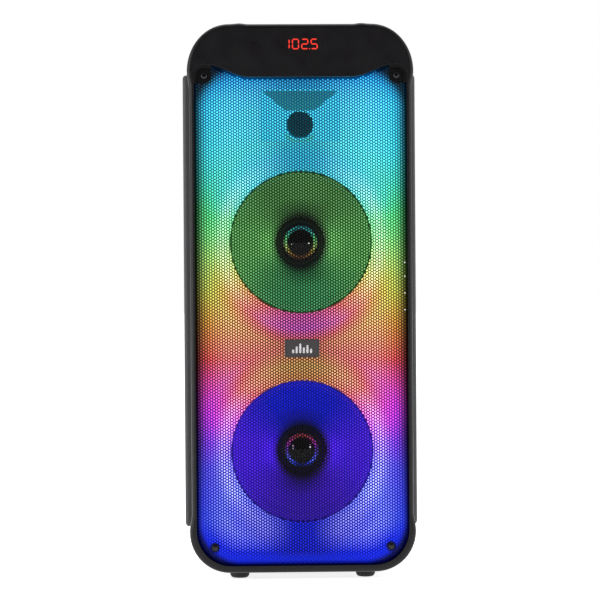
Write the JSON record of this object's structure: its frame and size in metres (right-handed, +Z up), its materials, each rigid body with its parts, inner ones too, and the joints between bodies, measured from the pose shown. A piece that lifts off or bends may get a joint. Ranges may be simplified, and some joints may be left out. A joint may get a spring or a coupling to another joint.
{
  "type": "party speaker",
  "caption": "Tall portable party loudspeaker with woofers and a horn tweeter behind a lit perforated grille, a digital display, and a control deck on top.",
  "frame": {"origin": "middle of the footprint, on the floor under the feet", "axes": "+Z up, -Y towards the listener (the grille), +X to the right as the listener sees it"},
  "size_m": [0.3236, 0.31, 0.763],
  "materials": {
    "bezel_plastic": "fine texture",
    "cabinet_plastic": "fine texture",
    "side_panel_plastic": "leather-like grain",
    "grille_steel": "satin powder coat",
    "screw_steel": "black oxide",
    "badge_metal": "brushed, dark",
    "smoked_window": "smoked, polished",
    "circuit_board": "solder mask",
    "milky_diffuser": "opal, lit from behind",
    "led_strip": "white board with lamps",
    "baffle_board": "black lacquered fibreboard",
    "ferrite": "matt",
    "plated_steel": "zinc plated",
    "horn_plastic": "glossy",
    "dome_cloth": "coated weave",
    "jack_panel_metal": "satin",
    "socket_plastic": "satin",
    "rocker_plastic": "glossy",
    "deck_plastic": "fine texture",
    "jack_chrome": "polished",
    "sink_aluminium": "extruded",
    "battery_wrap": "shrink wrap",
    "strap_steel": "satin",
    "foot_rubber": "matt",
    "knob_plastic": "satin",
    "basket_steel": "satin",
    "surround_rubber": "satin",
    "spider_cloth": "woven, stiffened",
    "cone_polymer": "glossy",
    "dust_cap_gloss": "polished",
    "coil_copper": "enamelled wire",
    "button_rubber": "satin",
    "display_red": "lit segments",
    "emblem_white": "satin",
    "print_grey": "printed mark",
    "lamp_white": "lit lens"
  },
  "bodies": {
    "cabinet": {"front_bezel": "bezel_plastic", "cabinet_shell": "cabinet_plastic", "rear_cover": "cabinet_plastic", "side_panel_left": "side_panel_plastic", "side_panel_right": "side_panel_plastic", "front_grille": "grille_steel", "grille_screws": "screw_steel", "badge_plate": "badge_metal", "display_window": "smoked_window", "display_module": "circuit_board", "light_diffuser": "milky_diffuser", "led_strips": "led_strip", "front_baffle": "baffle_board", "upper_basket": "basket_steel", "upper_surround": "surround_rubber", "upper_spider": "spider_cloth", "lower_basket": "basket_steel", "lower_surround": "surround_rubber", "lower_spider": "spider_cloth", "woofer_magnets": "ferrite", "woofer_pole_plates": "plated_steel", "woofer_screws": "screw_steel", "tweeter_horn": "horn_plastic", "tweeter_dome": "dome_cloth", "tweeter_driver": "ferrite", "cover_screws": "screw_steel", "grip_cup": "cabinet_plastic", "port_tube": "cabinet_plastic", "rear_jack_panel": "jack_panel_metal", "mains_inlet": "socket_plastic", "switch_housing": "socket_plastic", "charge_socket": "socket_plastic", "control_deck": "deck_plastic", "control_board": "circuit_board", "volume_encoder": "plated_steel", "level_pots": "plated_steel", "mic_jacks": "jack_chrome", "media_sockets": "plated_steel", "amplifier_board": "circuit_board", "heat_sink": "sink_aluminium", "power_supply": "circuit_board", "battery_pack": "battery_wrap", "battery_strap": "strap_steel", "rubber_feet": "foot_rubber"},
    "upper_cone_unit": {"upper_cone": "cone_polymer", "upper_dust_cap": "dust_cap_gloss", "upper_voice_coil": "coil_copper"},
    "lower_cone_unit": {"lower_cone": "cone_polymer", "lower_dust_cap": "dust_cap_gloss", "lower_voice_coil": "coil_copper"},
    "volume_control": {"volume_knob": "knob_plastic"},
    "mic_control": {"mic_level_knob": "knob_plastic"},
    "echo_control": {"echo_level_knob": "knob_plastic"},
    "rocker": {"power_rocker": "rocker_plastic"},
    "button_1_key": {"button_1": "button_rubber"},
    "button_2_key": {"button_2": "button_rubber"},
    "button_3_key": {"button_3": "button_rubber"},
    "button_4_key": {"button_4": "button_rubber"},
    "button_5_key": {"button_5": "button_rubber"},
    "button_6_key": {"button_6": "button_rubber"}
  },
  "joints": [
    {"name": "upper_cone_travel", "type": "slide", "parent": "cabinet", "child": "upper_cone_unit", "axis": [0, -1, 0], "range_m": [-0.004, 0.004], "stiffness_N_per_m": 2000, "deforming": ["upper_surround", "upper_spider"]},
    {"name": "lower_cone_travel", "type": "slide", "parent": "cabinet", "child": "lower_cone_unit", "axis": [0, -1, 0], "range_m": [-0.004, 0.004], "stiffness_N_per_m": 2000, "deforming": ["lower_surround", "lower_spider"]},
    {"name": "volume_turn", "type": "hinge", "parent": "cabinet", "child": "volume_control", "pos_m": [0, -0.05, 0.75], "axis": [0, 0, -1], "continuous": true},
    {"name": "mic_level_turn", "type": "hinge", "parent": "cabinet", "child": "mic_control", "pos_m": [-0.046, -0.05, 0.75], "axis": [0, 0, -1], "range_deg": [-150, 150]},
    {"name": "echo_level_turn", "type": "hinge", "parent": "cabinet", "child": "echo_control", "pos_m": [0.046, -0.05, 0.75], "axis": [0, 0, -1], "range_deg": [-150, 150]},
    {"name": "button_1_press", "type": "slide", "parent": "cabinet", "child": "button_1_key", "axis": [0, 0, -1], "range_m": [0, 0.0009], "stiffness_N_per_m": 900},
    {"name": "button_2_press", "type": "slide", "parent": "cabinet", "child": "button_2_key", "axis": [0, 0, -1], "range_m": [0, 0.0009], "stiffness_N_per_m": 900},
    {"name": "button_3_press", "type": "slide", "parent": "cabinet", "child": "button_3_key", "axis": [0, 0, -1], "range_m": [0, 0.0009], "stiffness_N_per_m": 900},
    {"name": "button_4_press", "type": "slide", "parent": "cabinet", "child": "button_4_key", "axis": [0, 0, -1], "range_m": [0, 0.0009], "stiffness_N_per_m": 900},
    {"name": "button_5_press", "type": "slide", "parent": "cabinet", "child": "button_5_key", "axis": [0, 0, -1], "range_m": [0, 0.0009], "stiffness_N_per_m": 900},
    {"name": "button_6_press", "type": "slide", "parent": "cabinet", "child": "button_6_key", "axis": [0, 0, -1], "range_m": [0, 0.0009], "stiffness_N_per_m": 900},
    {"name": "power_rocker_tilt", "type": "hinge", "parent": "cabinet", "child": "rocker", "pos_m": [0.008, 0.1486, 0.15], "axis": [1, 0, 0], "range_deg": [0, 12]}
  ]
}
